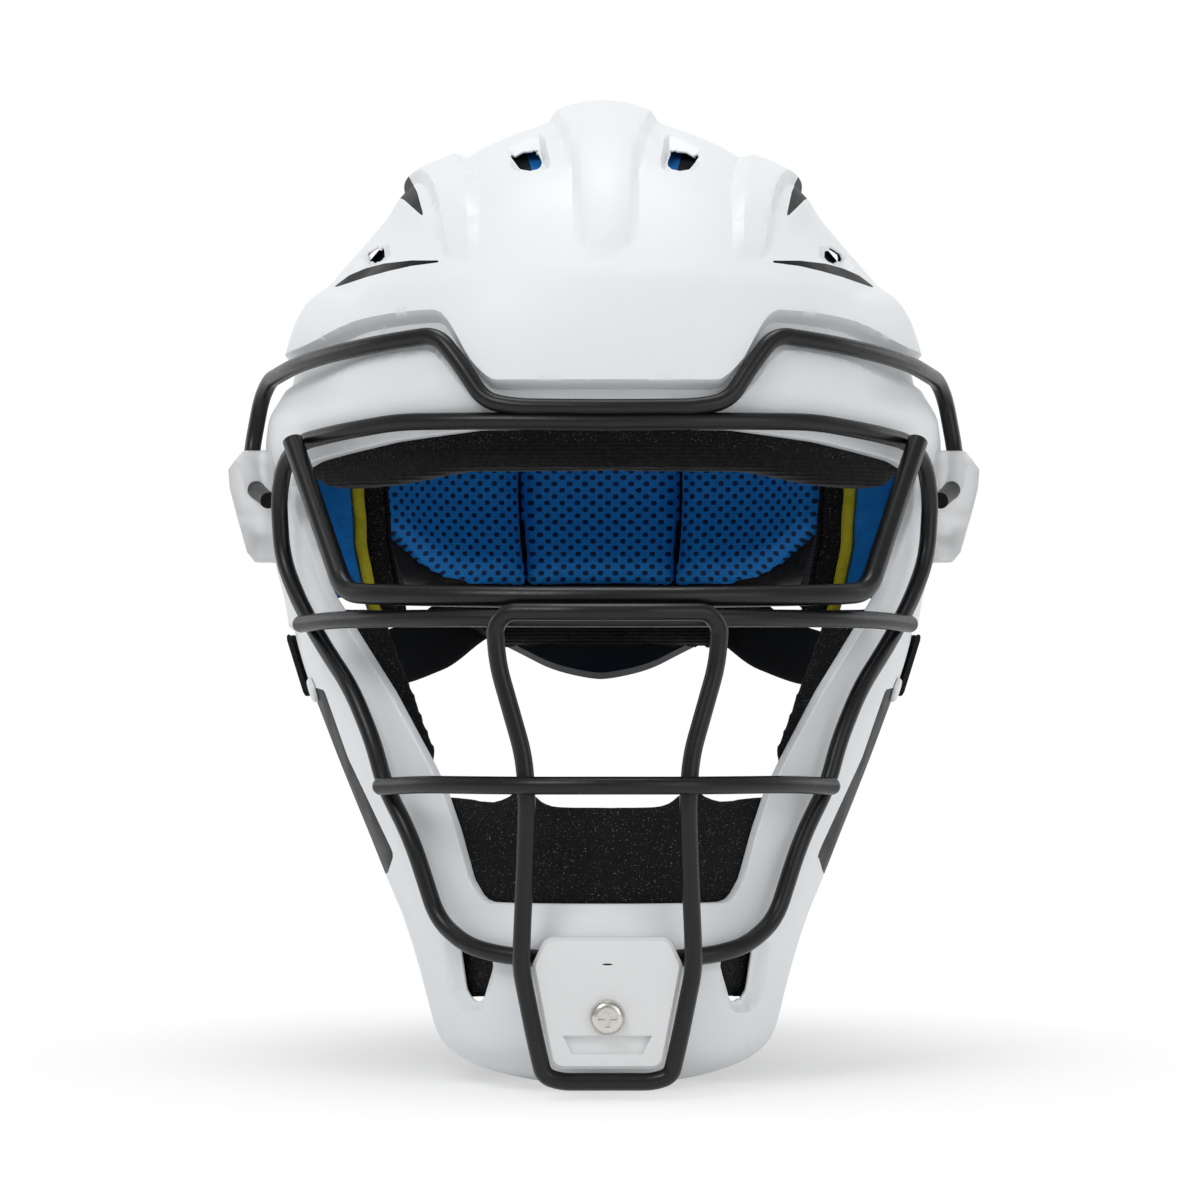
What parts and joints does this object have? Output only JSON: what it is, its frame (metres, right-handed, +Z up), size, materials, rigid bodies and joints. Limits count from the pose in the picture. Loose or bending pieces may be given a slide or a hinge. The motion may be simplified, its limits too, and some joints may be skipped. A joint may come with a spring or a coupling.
{
  "type": "baseball catcher helmet",
  "caption": "Hockey-style catcher helmet: vented white shell, welded wire face cage on screwed clips, foam liner and a strapped back plate.",
  "frame": {"origin": "middle of the bounding box's bottom, under the chin's lowest point in height", "axes": "+Z up, the face looks along -Y, +X across the helmet to the right in the picture"},
  "size_m": [0.241, 0.3036, 0.3138],
  "materials": {
    "shell": "matte white moulding",
    "wire": "satin black powder coat",
    "clip": "frosted clear",
    "chin_clip": "satin",
    "screw": "nickel plated",
    "rivet": "dark",
    "dark_foam": "closed-cell foam",
    "blue_foam": "closed-cell foam",
    "yellow_foam": "closed-cell foam",
    "lining": "brushed lining",
    "knit": "black knit over foam",
    "mesh": "royal blue spacer mesh",
    "webbing": "woven",
    "hook": "hook tape",
    "plate": "dark moulding"
  },
  "bodies": {
    "helmet": {"shell": "shell", "cage_loop_wire": "wire", "cage_brow_wire": "wire", "cage_eye_bar": "wire", "cage_mid_bar": "wire", "cage_lower_bar": "wire", "cage_centre_loop": "wire", "side_clip_right": "clip", "side_clip_left": "clip", "chin_clip": "chin_clip", "side_clip_screws": "screw", "chin_clip_screw": "screw", "tee_nuts": "screw", "crown_foam": "dark_foam", "crown_pad": "knit", "brow_pad": "knit", "jaw_pad_left": "knit", "jaw_pad_right": "knit", "side_strap_left": "webbing", "side_strap_right": "webbing", "hook_patch_left": "hook", "hook_patch_right": "hook", "hook_patch_top": "hook", "chin_pad": "knit", "back_foam": "dark_foam", "back_mesh_left": "mesh", "back_mesh_middle": "mesh", "back_mesh_right": "mesh", "top_strap": "webbing", "jaw_rivets": "rivet", "side_foam_outer_left": "blue_foam", "side_foam_middle_left": "yellow_foam", "side_foam_inner_left": "dark_foam", "side_foam_lining_left": "lining", "side_foam_outer_right": "blue_foam", "side_foam_middle_right": "yellow_foam", "side_foam_inner_right": "dark_foam", "side_foam_lining_right": "lining"},
    "back_plate_group": {"back_plate": "plate", "back_plate_pad": "knit", "strap_rivets": "rivet"}
  },
  "joints": [
    {"name": "back_plate_swing", "type": "hinge", "parent": "helmet", "child": "back_plate_group", "pos_m": [0, 0.13973, 0.17551], "axis": [1, 0, 0], "range_deg": [-7, 7], "stiffness_Nm_per_rad": 0.5, "deforming": ["side_strap_left", "side_strap_right", "top_strap"]}
  ]
}
